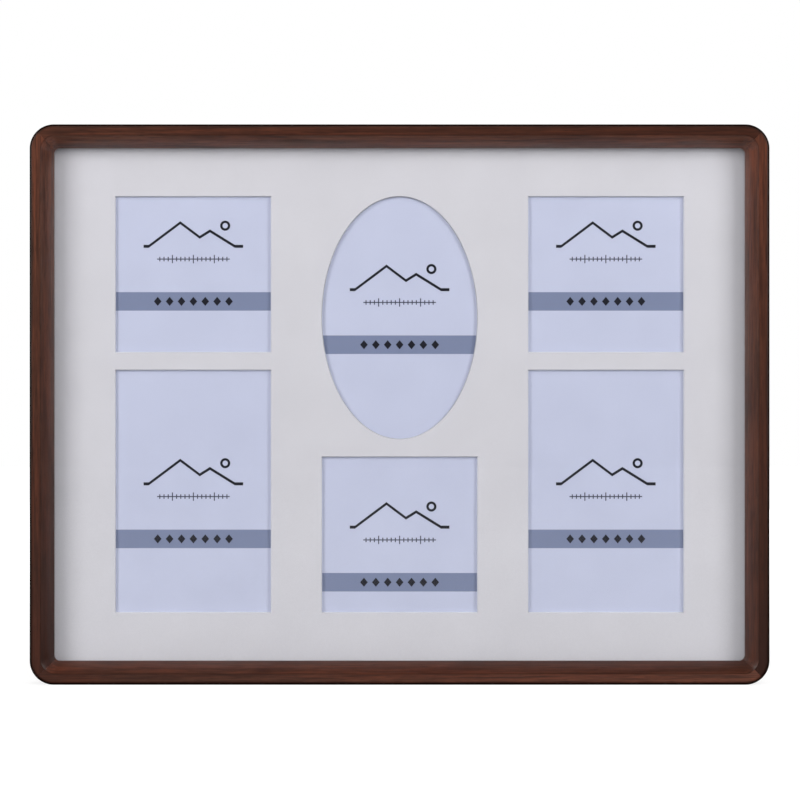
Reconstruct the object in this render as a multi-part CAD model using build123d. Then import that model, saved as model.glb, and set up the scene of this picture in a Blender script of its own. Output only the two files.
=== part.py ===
from build123d import *
from math import atan2, degrees, pi, sqrt, tan
import os

# A wooden collage picture frame with six mat windows. Sizes are in millimetres.
# +X runs to the viewer's right, +Y from the front of the frame to its back, and +Z up.
# Pieces are made about the middle of the frame, with Y = 0 on the back of the rails,
# and are moved at the end so that the origin is the middle notch of the upper hanger.

# Mat windows: three columns of two, a square one with a tall or an oval one
WINDOW_WIDTH = 88.6
SQUARE_HEIGHT = 88.6
TALL_HEIGHT = 138.2
COLUMN_GAP = 29.4
ROW_GAP = 10.6
SIDE_BORDER = 40.9
END_BORDER = 33.7
BEVEL_RUN = 0.6

# Sheets in the rebate, from the front to the back
GLAZING_THICKNESS = 2.0
MAT_THICKNESS = 1.5
PRINT_THICKNESS = 0.25
TAPE_THICKNESS = 0.1
FILLER_THICKNESS = 2.0
BACKING_THICKNESS = 3.0
BACKING_RECESS = 0.15

# Prints behind the windows, and the tapes that hang them on the mat
PRINT_OVERLAP = 6.35
PRINT_SPACING = 0.3
TAPE_WIDTH = 12.7
TAPE_LENGTH = 25.4
TAPE_INSET = 25.4

# Section of the wooden rails
LIP_OVERLAP = 6.35
REBATE_CLEARANCE = 0.8
WALL_WIDTH = 5.5
LIP_DEPTH = 11.0
SIGHT_LAND = 2.0
SIGHT_CORNER_RADIUS = 1.0
ROUNDOVER_RADIUS = 2.0
CREST_LAND = 4.3
BELLY_RADIUS = 30.0
BACK_EDGE_RADIUS = 1.0

# V-shaped nails across the mitres
NAIL_SPREAD = 1.2
NAIL_THICKNESS = 0.5
NAIL_HEIGHT = 7.0

# Turn buttons that hold the backing, and their screws
LONG_RAIL_BUTTON_DISTANCE = 100.0
SHORT_RAIL_BUTTON_DISTANCE = 84.0
BUTTON_REACH = 16.0
BUTTON_THICKNESS = 1.0
BUTTON_END_RADIUS = 2.6
BUTTON_TIP_RADIUS = 2.2
BUTTON_BEAD_WIDTH = 1.6
BUTTON_BEAD_HEIGHT = 0.5
BUTTON_BEAD_MARGIN = 1.2
BUTTON_LIFT = 0.1
SCREW_RADIUS = 1.2
SCREW_LENGTH = 9.5
SCREW_TIP_LENGTH = 2.2
SCREW_HEAD_RADIUS = 2.3
SCREW_HEAD_HEIGHT = 1.5
SCREW_RIM_HEIGHT = 0.5
SCREW_RECESS_LENGTH = 2.6
SCREW_RECESS_WIDTH = 0.7
SCREW_RECESS_DEPTH = 0.9
PIVOT_CLEARANCE = 0.05
PILOT_CLEARANCE = 0.02

# Sawtooth hangers on the backing, and their rivets
HANGER_EDGE_DISTANCE = 16.0
HANGER_LENGTH = 45.0
HANGER_HEIGHT = 10.0
HANGER_THICKNESS = 0.8
HANGER_STANDOFF = 1.8
HANGER_FOOT_LENGTH = 8.5
HANGER_CORNER_RADIUS = 3.0
TOOTH_PITCH = 3.0
TOOTH_DEPTH = 1.5
RIVET_RADIUS = 1.2
RIVET_HEAD_RADIUS = 2.4
RIVET_HEAD_HEIGHT = 1.0
RIVET_RIM_HEIGHT = 0.2
RIVET_FLARE = 0.9
RIVET_CLEARANCE = 0.02

# Overall sizes that follow
COLUMN_PITCH = WINDOW_WIDTH + COLUMN_GAP
STACK_HEIGHT = SQUARE_HEIGHT + TALL_HEIGHT + ROW_GAP
SHEET_WIDTH = 2 * COLUMN_PITCH + WINDOW_WIDTH + 2 * SIDE_BORDER
SHEET_HEIGHT = STACK_HEIGHT + 2 * END_BORDER
RAIL_WIDTH = LIP_OVERLAP + REBATE_CLEARANCE + WALL_WIDTH
OUTER_WIDTH = SHEET_WIDTH + 2 * (REBATE_CLEARANCE + WALL_WIDTH)
OUTER_HEIGHT = SHEET_HEIGHT + 2 * (REBATE_CLEARANCE + WALL_WIDTH)
OUTER_CORNER_RADIUS = SIGHT_CORNER_RADIUS + RAIL_WIDTH
SHEET_CORNER_RADIUS = SIGHT_CORNER_RADIUS + LIP_OVERLAP

# Back face of each sheet, counted from the backing forwards, and the depths that follow
BACKING_BACK = -BACKING_RECESS
FILLER_BACK = BACKING_BACK - BACKING_THICKNESS
TAPE_BACK = FILLER_BACK - FILLER_THICKNESS
PRINT_BACK = TAPE_BACK - TAPE_THICKNESS
MAT_BACK = PRINT_BACK - PRINT_THICKNESS
GLAZING_BACK = MAT_BACK - MAT_THICKNESS
REBATE_DEPTH = GLAZING_THICKNESS - GLAZING_BACK
RAIL_DEPTH = REBATE_DEPTH + LIP_DEPTH
BUTTON_BACK = BUTTON_LIFT + BUTTON_THICKNESS
SCREW_SEAT = BUTTON_BACK + BUTTON_LIFT

# The middle notch of the upper hanger is the origin of the finished part
HANGER_Z = SHEET_HEIGHT / 2 - HANGER_EDGE_DISTANCE
HANGER_X = SHEET_WIDTH / 2 - HANGER_EDGE_DISTANCE
NOTCH_DROP = HANGER_HEIGHT / 2 - TOOTH_DEPTH
NOTCH_Y = BACKING_BACK + HANGER_STANDOFF + HANGER_THICKNESS / 2
TO_ORIGIN = Pos(0, -NOTCH_Y, -(HANGER_Z - NOTCH_DROP))


def facing(y):
    """The upright plane at depth y, seen from the front: local x is X and local y is Z."""
    return Plane(origin=(0, y, 0), x_dir=(1, 0, 0), z_dir=(0, -1, 0))


def sheet(back, thickness):
    """A sheet that fills the rebate, with corners rounded to suit the frame."""
    outline = RectangleRounded(SHEET_WIDTH, SHEET_HEIGHT, SHEET_CORNER_RADIUS)
    return extrude(facing(back) * outline, amount=thickness)


def turned_about_y(points):
    """A solid of revolution about the Y axis through (radius, y) points."""
    outline = Polyline(*points, close=True)
    return revolve(make_face(Plane.XY * outline), Axis.Y)


# Rails: one moulding, carried along each side and half-way round each corner

def rail_section():
    """The moulding's section: x is the distance in from the outer side, y the height above the back.

    From the flat front a shallow belly falls to the sight edge, and a rebate is cut behind it.
    """
    crest = (ROUNDOVER_RADIUS + CREST_LAND, RAIL_DEPTH)
    sight = (RAIL_WIDTH, REBATE_DEPTH + SIGHT_LAND)
    outline = [
        Polyline(
            (BACK_EDGE_RADIUS, 0),
            (WALL_WIDTH, 0),
            (WALL_WIDTH, REBATE_DEPTH),
            (RAIL_WIDTH, REBATE_DEPTH),
            sight,
        ),
        RadiusArc(sight, crest, -BELLY_RADIUS),
        Line(crest, (ROUNDOVER_RADIUS, RAIL_DEPTH)),
        CenterArc((ROUNDOVER_RADIUS, RAIL_DEPTH - ROUNDOVER_RADIUS), ROUNDOVER_RADIUS, 90, 90),
        Line((0, RAIL_DEPTH - ROUNDOVER_RADIUS), (0, BACK_EDGE_RADIUS)),
        CenterArc((BACK_EDGE_RADIUS, BACK_EDGE_RADIUS), BACK_EDGE_RADIUS, 180, 90),
    ]
    return make_face(Curve() + outline)


def upper_rail(length, rise):
    """A rail of this outer length, whose outer side is at height rise, mitred at both ends."""
    straight = length - 2 * OUTER_CORNER_RADIUS
    centre_z = rise - OUTER_CORNER_RADIUS
    section = rail_section()

    def section_at(x):
        return Plane(origin=(x, 0, rise), x_dir=(0, 0, -1), z_dir=(-1, 0, 0)) * section

    right_turn = Axis((straight / 2, 0, centre_z), (0, 1, 0))
    left_turn = Axis((-straight / 2, 0, centre_z), (0, -1, 0))
    return (
        extrude(section_at(straight / 2), amount=straight)
        + revolve(section_at(straight / 2), right_turn, 45)
        + revolve(section_at(-straight / 2), left_turn, 45)
    )


# V nails: a chevron across each mitre, driven flush into the back of the rails

def v_nail():
    """A chevron on the X axis, centred, with its point to +X, from Y = 0 forwards."""
    slant = NAIL_THICKNESS * sqrt(2)
    tip = NAIL_SPREAD + slant / 2
    outline = Polyline(
        (tip, 0),
        (tip - 2 * NAIL_SPREAD, 2 * NAIL_SPREAD),
        (tip - 2 * NAIL_SPREAD - slant, 2 * NAIL_SPREAD),
        (tip - slant, 0),
        (tip - 2 * NAIL_SPREAD - slant, -2 * NAIL_SPREAD),
        (tip - 2 * NAIL_SPREAD, -2 * NAIL_SPREAD),
        close=True,
    )
    return extrude(facing(0) * make_face(outline), amount=NAIL_HEIGHT)


def v_nails():
    out = OUTER_CORNER_RADIUS - WALL_WIDTH / 2
    nails = []
    for side_x, side_z in ((1, 1), (1, -1), (-1, -1), (-1, 1)):
        centre_x = side_x * (OUTER_WIDTH / 2 - OUTER_CORNER_RADIUS)
        centre_z = side_z * (OUTER_HEIGHT / 2 - OUTER_CORNER_RADIUS)
        turn = Rot(0, -degrees(atan2(side_z, side_x)), 0)
        nails.append(Pos(centre_x, 0, centre_z) * turn * Pos(out, 0, 0) * v_nail())
    return nails


# Mat: one board with bevelled windows, three columns of two

def windows():
    """Each window by name: its centre, its height, whether it's oval, and the way its print shifts."""
    upper_edge = STACK_HEIGHT / 2
    found = {}
    for name, column in (("left", -1), ("centre", 0), ("right", 1)):
        oval = name == "centre"
        upper = TALL_HEIGHT if oval else SQUARE_HEIGHT
        lower = SQUARE_HEIGHT if oval else TALL_HEIGHT
        x = column * COLUMN_PITCH
        found["upper_" + name] = (x, upper_edge - upper / 2, upper, oval, 1)
        found["lower_" + name] = (x, lower / 2 - upper_edge, lower, False, -1)
    return found


def window_cutter(x, z, height, oval):
    """A window's opening, wider at the front by the bevel's run all round."""
    faces = []
    for y, grow in ((MAT_BACK, 0), (GLAZING_BACK, BEVEL_RUN)):
        if oval:
            outline = Ellipse(WINDOW_WIDTH / 2 + grow, height / 2 + grow)
        else:
            outline = Rectangle(WINDOW_WIDTH + 2 * grow, height + 2 * grow)
        faces.append(facing(y) * Pos(x, z) * outline)
    return loft(faces, ruled=True)


def mat_board():
    board = sheet(MAT_BACK, MAT_THICKNESS)
    for x, z, height, oval, _ in windows().values():
        board -= window_cutter(x, z, height, oval)
    return board


# Prints: paper sheets behind the windows, and the tapes on their outer edges

def print_place(window):
    """Centre, width and height of a print, moved off its neighbour across the row gap."""
    x, z, height, _, way = window
    shift = max(0, PRINT_OVERLAP - (ROW_GAP - PRINT_SPACING) / 2)
    return x, z + way * shift, WINDOW_WIDTH + 2 * PRINT_OVERLAP, height + 2 * PRINT_OVERLAP


def print_sheet(window):
    x, z, width, height = print_place(window)
    return extrude(facing(PRINT_BACK) * Pos(x, z) * Rectangle(width, height), amount=PRINT_THICKNESS)


def tapes():
    strips = []
    for window in windows().values():
        x, z, width, height = print_place(window)
        edge = z + window[4] * height / 2
        for side in (-1, 1):
            tape_x = x + side * (width / 2 - TAPE_INSET)
            outline = Pos(tape_x, edge) * Rectangle(TAPE_WIDTH, TAPE_LENGTH)
            strips.append(extrude(facing(TAPE_BACK) * outline, amount=TAPE_THICKNESS))
    return strips


# Turn buttons: flat steel tongues, each on a round-head screw in the wall of a rail

def button_places():
    """Each button by name: the X and Z of its screw, and its turn from pointing down."""
    x = OUTER_WIDTH / 2 - LONG_RAIL_BUTTON_DISTANCE
    z = OUTER_HEIGHT / 2 - SHORT_RAIL_BUTTON_DISTANCE
    side_x = (OUTER_WIDTH - WALL_WIDTH) / 2
    side_z = (OUTER_HEIGHT - WALL_WIDTH) / 2
    return {
        "top_left": (-x, side_z, 0),
        "top_right": (x, side_z, 0),
        "right_upper": (side_x, z, 90),
        "right_lower": (side_x, -z, 90),
        "bottom_right": (x, -side_z, 180),
        "bottom_left": (-x, -side_z, 180),
        "left_lower": (-side_x, -z, 270),
        "left_upper": (-side_x, z, 270),
    }


def turn_button():
    """A tapered tongue that points down from its screw, with a pressed bead along its back."""
    tip = Pos(0, -BUTTON_REACH) * Circle(BUTTON_TIP_RADIUS)
    tongue = make_hull((Circle(BUTTON_END_RADIUS) + tip).edges())
    plate = extrude(facing(BUTTON_BACK) * tongue, amount=BUTTON_THICKNESS)
    bead_top = -(BUTTON_END_RADIUS + BUTTON_BEAD_MARGIN)
    bead_middle = (bead_top - BUTTON_REACH) / 2
    bead_length = BUTTON_REACH + bead_top
    bead = Pos(0, bead_middle) * Rot(0, 0, 90) * SlotOverall(bead_length, BUTTON_BEAD_WIDTH)
    raised = extrude(facing(BUTTON_BACK) * bead, amount=-BUTTON_BEAD_HEIGHT)
    hole = extrude(facing(BUTTON_BACK) * Circle(SCREW_RADIUS + PIVOT_CLEARANCE), amount=BUTTON_THICKNESS)
    return plate + raised - hole


def domed_head(seat, radius, rim, height):
    """A head on the Y axis from seat: a rim, then a ball's cap up to height."""
    ball = (radius**2 + (height - rim) ** 2) / (2 * (height - rim))
    centre = seat + height - ball
    start = degrees(atan2(seat + rim - centre, radius))
    outline = [
        Polyline((0, seat + height), (0, seat), (radius, seat), (radius, seat + rim)),
        CenterArc((0, centre), ball, start, 90 - start),
    ]
    return revolve(make_face(Curve() + outline), Axis.Y)


def screw():
    """A round-head wood screw on the Y axis, with a cross recess in its head."""
    body = turned_about_y([
        (0, SCREW_SEAT - SCREW_LENGTH),
        (SCREW_RADIUS, SCREW_SEAT - SCREW_LENGTH + SCREW_TIP_LENGTH),
        (SCREW_RADIUS, SCREW_SEAT),
        (0, SCREW_SEAT),
    ])
    head = domed_head(SCREW_SEAT, SCREW_HEAD_RADIUS, SCREW_RIM_HEIGHT, SCREW_HEAD_HEIGHT)
    cross = Rectangle(SCREW_RECESS_LENGTH, SCREW_RECESS_WIDTH)
    cross += Rectangle(SCREW_RECESS_WIDTH, SCREW_RECESS_LENGTH)
    recess = facing(SCREW_SEAT + SCREW_HEAD_HEIGHT) * cross
    return body + head - extrude(recess, amount=SCREW_RECESS_DEPTH)


def pilot_hole():
    """The room for a screw in the wood."""
    radius = SCREW_RADIUS + PILOT_CLEARANCE
    return turned_about_y([
        (0, SCREW_SEAT - SCREW_LENGTH - PILOT_CLEARANCE),
        (radius, SCREW_SEAT - SCREW_LENGTH + SCREW_TIP_LENGTH - PILOT_CLEARANCE),
        (radius, SCREW_SEAT),
        (0, SCREW_SEAT),
    ])


# Hangers: toothed steel bars, standing off the backing between two riveted feet

def hanger():
    """A hanger about its own middle, on Y = 0, with its teeth pointing down."""
    bend = HANGER_THICKNESS * tan(pi / 8)
    foot = HANGER_LENGTH / 2 - HANGER_FOOT_LENGTH
    under = [(HANGER_LENGTH / 2, 0), (foot, 0), (foot - HANGER_STANDOFF, HANGER_STANDOFF)]
    over = [
        (foot - HANGER_STANDOFF + bend, HANGER_STANDOFF + HANGER_THICKNESS),
        (foot + bend, HANGER_THICKNESS),
        (HANGER_LENGTH / 2, HANGER_THICKNESS),
    ]
    mirrored_under = [(-x, y) for x, y in reversed(under)]
    mirrored_over = [(-x, y) for x, y in reversed(over)]
    profile = Polyline(*under, *mirrored_under, *mirrored_over, *over, close=True)
    strip = extrude(Pos(0, 0, -HANGER_HEIGHT / 2) * make_face(profile), amount=HANGER_HEIGHT)
    ends = strip.edges().filter_by(Axis.Y)
    strip = fillet(ends, HANGER_CORNER_RADIUS)
    top = HANGER_STANDOFF + HANGER_THICKNESS
    tooth_line = -HANGER_HEIGHT / 2
    half_count = int((foot - HANGER_STANDOFF - TOOTH_PITCH / 2) / TOOTH_PITCH)
    for index in range(-half_count, half_count + 1):
        x = index * TOOTH_PITCH
        notch = Polyline(
            (x - TOOTH_PITCH / 2, tooth_line),
            (x, tooth_line + TOOTH_DEPTH),
            (x + TOOTH_PITCH / 2, tooth_line),
            close=True,
        )
        strip -= extrude(facing(top) * make_face(notch), amount=HANGER_THICKNESS)
    for x, _ in rivet_offsets():
        hole = Pos(x, 0) * Circle(RIVET_RADIUS + RIVET_CLEARANCE)
        strip -= extrude(facing(HANGER_THICKNESS) * hole, amount=HANGER_THICKNESS)
    return strip


def rivet_offsets():
    """The middles of the two feet of a hanger."""
    x = (HANGER_LENGTH - HANGER_FOOT_LENGTH) / 2
    return ((x, 0), (-x, 0))


def rivet(clearance, head):
    """A rivet about Y = 0 on the backing's face: a shank with a flared tail, and its dome where head."""
    radius = RIVET_RADIUS + clearance
    shank_top = HANGER_THICKNESS if head else 0
    body = turned_about_y([
        (0, -BACKING_THICKNESS),
        (radius + RIVET_FLARE, -BACKING_THICKNESS),
        (radius, -BACKING_THICKNESS + RIVET_FLARE),
        (radius, shank_top),
        (0, shank_top),
    ])
    if not head:
        return body
    return body + domed_head(HANGER_THICKNESS, RIVET_HEAD_RADIUS, RIVET_RIM_HEIGHT, RIVET_HEAD_HEIGHT)


HANGER_PLACES = {
    "hanger_landscape": Pos(0, BACKING_BACK, HANGER_Z),
    "hanger_portrait": Pos(HANGER_X, BACKING_BACK, 0) * Rot(0, 90, 0),
}


def at_rivets(piece):
    return [
        place * Pos(x, 0, z) * piece
        for place in HANGER_PLACES.values()
        for x, z in rivet_offsets()
    ]


def backing_board():
    board = sheet(BACKING_BACK, BACKING_THICKNESS)
    for hole in at_rivets(rivet(RIVET_CLEARANCE, head=False)):
        board -= hole
    return board


def rails(nails):
    """The four rails, with the holes for their screws and the slots for their nails."""
    made = {
        "top_rail": upper_rail(OUTER_WIDTH, OUTER_HEIGHT / 2),
        "right_rail": Rot(0, 90, 0) * upper_rail(OUTER_HEIGHT, OUTER_WIDTH / 2),
        "bottom_rail": Rot(0, 180, 0) * upper_rail(OUTER_WIDTH, OUTER_HEIGHT / 2),
        "left_rail": Rot(0, 270, 0) * upper_rail(OUTER_HEIGHT, OUTER_WIDTH / 2),
    }
    sides = {0: "top_rail", 90: "right_rail", 180: "bottom_rail", 270: "left_rail"}
    for x, z, turn in button_places().values():
        made[sides[turn]] -= Pos(x, 0, z) * pilot_hole()
    for name in made:
        for nail in nails:
            made[name] -= nail
    return made


def assembly():
    """Every piece by name: a solid, or a list of like solids."""
    nails = v_nails()
    pieces = rails(nails)
    pieces["corner_v_nails"] = nails
    pieces["glazing_sheet"] = sheet(GLAZING_BACK, GLAZING_THICKNESS)
    pieces["mat_board"] = mat_board()
    for name, window in windows().items():
        pieces["print_" + name] = print_sheet(window)
    pieces["print_tapes"] = tapes()
    pieces["filler_card"] = sheet(FILLER_BACK, FILLER_THICKNESS)
    pieces["backing_board"] = backing_board()
    screws = []
    for name, (x, z, turn) in button_places().items():
        pieces["turn_button_" + name] = Pos(x, 0, z) * Rot(0, turn, 0) * turn_button()
        screws.append(Pos(x, 0, z) * Rot(0, turn, 0) * screw())
    pieces["turn_button_screws"] = screws
    for name, place in HANGER_PLACES.items():
        pieces[name] = place * hanger()
    pieces["hanger_rivets"] = at_rivets(rivet(0, head=True))
    return pieces


os.makedirs("parts", exist_ok=True)
for name, piece in assembly().items():
    solids = piece if isinstance(piece, list) else [piece]
    moved = [TO_ORIGIN * solid for solid in solids]
    shape = Compound(children=moved) if len(moved) > 1 else moved[0]
    export_step(shape, f"parts/{name}.step")
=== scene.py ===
from cmath import phase
from math import cos, pi, radians, sin, sqrt

import bmesh
import bpy
import numpy as np
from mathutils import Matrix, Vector


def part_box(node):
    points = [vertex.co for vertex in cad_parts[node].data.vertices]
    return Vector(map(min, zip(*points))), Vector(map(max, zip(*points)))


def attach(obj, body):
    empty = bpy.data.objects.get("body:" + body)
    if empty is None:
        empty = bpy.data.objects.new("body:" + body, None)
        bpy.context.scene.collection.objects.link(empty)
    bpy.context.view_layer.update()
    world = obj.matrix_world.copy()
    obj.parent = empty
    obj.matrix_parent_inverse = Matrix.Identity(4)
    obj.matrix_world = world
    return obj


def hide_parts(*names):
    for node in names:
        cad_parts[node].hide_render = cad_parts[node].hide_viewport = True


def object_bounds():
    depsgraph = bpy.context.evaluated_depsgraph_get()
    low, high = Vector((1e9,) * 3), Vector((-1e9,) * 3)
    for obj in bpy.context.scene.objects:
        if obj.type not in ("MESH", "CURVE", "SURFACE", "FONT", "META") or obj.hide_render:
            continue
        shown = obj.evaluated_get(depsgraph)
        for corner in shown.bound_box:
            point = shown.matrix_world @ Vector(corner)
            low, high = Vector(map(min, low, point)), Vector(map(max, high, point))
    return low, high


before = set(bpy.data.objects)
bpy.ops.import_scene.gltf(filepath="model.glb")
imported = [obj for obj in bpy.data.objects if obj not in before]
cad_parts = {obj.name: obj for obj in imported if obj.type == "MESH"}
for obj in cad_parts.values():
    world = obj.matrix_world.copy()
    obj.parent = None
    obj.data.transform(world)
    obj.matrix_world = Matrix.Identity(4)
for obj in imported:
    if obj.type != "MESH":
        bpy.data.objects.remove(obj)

cad_low, cad_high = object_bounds()


# Camera: a long lens, square to the mat and a little above the middle of the frame.
# The mat's face fills the picture at the photographed scale.
CAMERA_DISTANCE = 1.25
SENSOR_WIDTH = 36.0
PICTURE_PIXELS = 800
MAT_PER_PIXEL = 0.0005715
MIDDLE_PIXEL_X = 399.6
MIDDLE_PIXEL_Y = 404.5

mat_low, mat_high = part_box("mat_board")
middle_x = (cad_low.x + cad_high.x) / 2
middle_z = (cad_low.z + cad_high.z) / 2

lens = bpy.data.cameras.new("camera")
lens.sensor_width = SENSOR_WIDTH
lens.lens = SENSOR_WIDTH * CAMERA_DISTANCE / (PICTURE_PIXELS * MAT_PER_PIXEL)
camera = bpy.data.objects.new("camera", lens)
camera.location = (
    middle_x + (PICTURE_PIXELS / 2 - MIDDLE_PIXEL_X) * MAT_PER_PIXEL,
    mat_low.y - CAMERA_DISTANCE,
    middle_z + (MIDDLE_PIXEL_Y - PICTURE_PIXELS / 2) * MAT_PER_PIXEL,
)
camera.rotation_euler = (pi / 2, 0, 0)
bpy.context.collection.objects.link(camera)
bpy.context.scene.camera = camera


# Rails: four lengths of walnut moulding, mitred and glued, with a flat front, an eased outer edge, a
# belly down to the sight edge and a rebate behind. Each is cut from its own straight board, so the
# grain runs along it and breaks at the mitres. The wood is stained dark and has a satin lacquer.
RAIL_WIDTH = 0.01265
RAIL_WALL = 0.0055
SIGHT_LAND = 0.002
CREST_LAND = 0.0043
BELLY_RADIUS = 0.030
OUTER_CORNER_RADIUS = 0.01365
SIGHT_CORNER_RADIUS = 0.0032
RAIL_TURN_STEPS = 20
RAIL_LENGTH_STEPS = 24
MITRE_HAIRLINE = 0.00001
BACK_EDGE_RADIUS = 0.001
REBATE_EDGE_RADIUS = 0.0002
SIGHT_EDGE_RADIUS = 0.0002
CREST_RADIUS = 0.0002
ROUNDOVER_RADIUS = 0.002
CREST_INSET = ROUNDOVER_RADIUS + CREST_LAND
EDGE_STEPS = 12
BELLY_STEPS = 24
WELD_DISTANCE = 1e-6

rail_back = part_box("top_rail")[1].y
rail_depth = rail_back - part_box("top_rail")[0].y
glazing_low, glazing_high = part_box("glazing_sheet")
rebate_depth = rail_back - glazing_low.y


def arc(centre, radius, start, end, steps=EDGE_STEPS):
    """Points of a circle's arc between two angles, as complex numbers about a complex centre."""
    return centre + radius * np.exp(1j * np.linspace(start, end, steps))


def grid_faces(rows, columns, close_rows=False):
    """Quads between neighbours of a grid numbered row by row: a row is a ring, and rows may close too."""
    row = np.arange(rows if close_rows else rows - 1)[:, None]
    column = np.arange(columns)
    next_row = (row + 1) % rows * columns
    next_column = (column + 1) % columns
    row = row * columns
    corners = [row + column, next_row + column, next_row + next_column, row + next_column]
    return np.stack(corners, axis=-1).reshape(-1, 4).tolist()


def capped_rings(rings):
    """Points and faces of a stack of closed rings, joined side by side and capped at both ends."""
    count, around = rings.shape[:2]
    faces = grid_faces(count, around)
    faces.append(list(range(around)))
    faces.append(list(range((count - 1) * around, count * around)))
    return rings.reshape(-1, 3), faces


def add_piece(name, points, faces, finishes, face_finish=0, attributes=None, sharp_over=35):
    """A mesh piece at the origin: doubles merged, faces outward, curves smooth and flats left flat."""
    mesh = bpy.data.meshes.new("finished_" + name)
    mesh.from_pydata(np.asarray(points).tolist(), [], faces)
    for finish in finishes:
        mesh.materials.append(finish)
    mesh.polygons.foreach_set("material_index", np.broadcast_to(face_finish, len(faces)).astype(np.int32))
    for attribute, values in (attributes or {}).items():
        layer = mesh.attributes.new(attribute, "FLOAT_VECTOR", "POINT")
        layer.data.foreach_set("vector", values.astype(np.float32).ravel())
    cleaned = bmesh.new()
    cleaned.from_mesh(mesh)
    bmesh.ops.remove_doubles(cleaned, verts=cleaned.verts, dist=WELD_DISTANCE)
    bmesh.ops.recalc_face_normals(cleaned, faces=cleaned.faces)
    cleaned.to_mesh(mesh)
    cleaned.free()
    mesh.shade_smooth()
    mesh.set_sharp_from_angle(angle=radians(sharp_over))
    piece = bpy.data.objects.new("finished_" + name, mesh)
    bpy.context.collection.objects.link(piece)
    flats = piece.modifiers.new("flats", "WEIGHTED_NORMAL")
    flats.keep_sharp = True
    return piece


class Wire:
    """A shader socket in Python arithmetic: an operator adds a Math node, and node() any other."""

    def __init__(self, tree, socket=None):
        self.tree = tree
        self.socket = socket

    def node(self, kind, settings=None, sockets=None, output=0):
        """Add a node, with its settings first, then a value or a wire for each of its sockets."""
        added = self.tree.nodes.new(kind)
        for name, value in (settings or {}).items():
            setattr(added, name, value)
        for name, value in (sockets or {}).items():
            if isinstance(value, Wire):
                self.tree.links.new(value.socket, added.inputs[name])
            else:
                added.inputs[name].default_value = value
        return Wire(self.tree, added.outputs[output])

    def maths(self, operation, *terms):
        return self.node("ShaderNodeMath", {"operation": operation}, dict(enumerate(terms)))

    def feed(self, shader, socket):
        """Lead this wire into a shader's socket."""
        self.tree.links.new(self.socket, shader.inputs[socket])

    def __add__(self, other):
        return self.maths("ADD", self, other)

    def __sub__(self, other):
        return self.maths("SUBTRACT", self, other)

    def __rsub__(self, other):
        return self.maths("SUBTRACT", other, self)

    def __mul__(self, other):
        return self.maths("MULTIPLY", self, other)

    def __truediv__(self, other):
        return self.maths("DIVIDE", self, other)

    def __pow__(self, other):
        return self.maths("POWER", self, other)

    def __abs__(self):
        return self.maths("ABSOLUTE", self)

    __radd__ = __add__
    __rmul__ = __mul__


def start_finish(name):
    """A new material, its Principled shader, and a wire of Object coordinates in metres."""
    material = bpy.data.materials.new(name)
    material.use_nodes = True
    shader = material.node_tree.nodes["Principled BSDF"]
    place = Wire(material.node_tree).node("ShaderNodeTexCoord", output="Object")
    return material, shader, place


def screen_colour(red, green, blue):
    """A linear colour from screen values of 0 to 255."""
    screen = np.array([red, green, blue]) / 255
    linear = np.where(screen <= 0.04045, screen / 12.92, ((screen + 0.055) / 1.055) ** 2.4)
    return (*linear.tolist(), 1.0)


def noise(place, waves, detail=2.0):
    """Smooth noise about 0.5, with so many waves to the metre along X, Y and Z."""
    stretched = place.node("ShaderNodeVectorMath", {"operation": "MULTIPLY"}, {0: place, 1: waves})
    sockets = {"Vector": stretched, "Scale": 1.0, "Detail": detail}
    return place.node("ShaderNodeTexNoise", None, sockets)


def blend(factor, first, second):
    """The colour that lies the factor's share of the way from the first to the second."""
    sockets = {0: factor, 6: first, 7: second}
    return factor.node("ShaderNodeMix", {"data_type": "RGBA"}, sockets, output=2)


def ramp(value, low, high):
    """0 where the value is low, 1 where it is high, and straight between them."""
    sockets = {"Value": value, "From Min": low, "From Max": high}
    return value.node("ShaderNodeMapRange", {"clamp": True}, sockets)


def parts_of(vector, axes="XYZ"):
    """A wire for each of a vector's parts along these axes."""
    return [vector.node("ShaderNodeSeparateXYZ", None, {"Vector": vector}, output=axis) for axis in axes]


def relief(height, depth):
    """The normal of a surface with this height, from 0 to 1, and so many metres of depth."""
    return height.node("ShaderNodeBump", None, {"Height": height, "Distance": depth, "Strength": 1.0})


WALNUT_RED = screen_colour(114, 62, 43)
WALNUT_OLIVE = screen_colour(98, 60, 45)
# The dark and pore colours serve the grain and the pores, and also the painted shade on the rails.
WALNUT_DARK_AND_SHADE = screen_colour(42, 20, 13)
WALNUT_PORE_AND_SHADE = screen_colour(22, 11, 8)
RING_WIDTH = 0.0030
RING_SWAY = 0.006
PITH_ACROSS = 0.031
PITH_BEHIND = 0.047
GRAIN_SLANT = 0.03
LATE_WOOD_START = 0.35
LATE_WOOD_FULL = 0.9
SWAY_WAVES = (6, 40, 40)
TONE_WAVES = (9, 70, 70)
STREAK_WAVES = (22, 800, 800)
FIBRE_WAVES = (75, 1500, 1500)
PORE_WAVES = (150, 3200, 3200)
PORE_DEPTH = 0.00001
LATE_WOOD_SHADE = 0.3
STREAK_SHADE = 0.5
PORE_SHADE = 0.6
LATE_PORE_LOSS = 0.3
WOOD_ROUGHNESS = 0.5
# Painted shade on the outer edge and the sight edge, and a darker line along the crest.
CREST_DARK_BAND = 0.0005
CREST_SHADE = 0.4
SIGHT_SHADE_BAND = 0.0025
SIGHT_SHADE = 0.12
EDGE_BAND_START = 0.0022
EDGE_BAND_FULL = 0.0009
EDGE_SHADE_START = 0.0018
EDGE_SHADE_FULL = 0.0012
SIDE_LACQUER = 0.4
LACQUER_SUNK = 0.45
LACQUER_ROUGHNESS = 0.28


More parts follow.
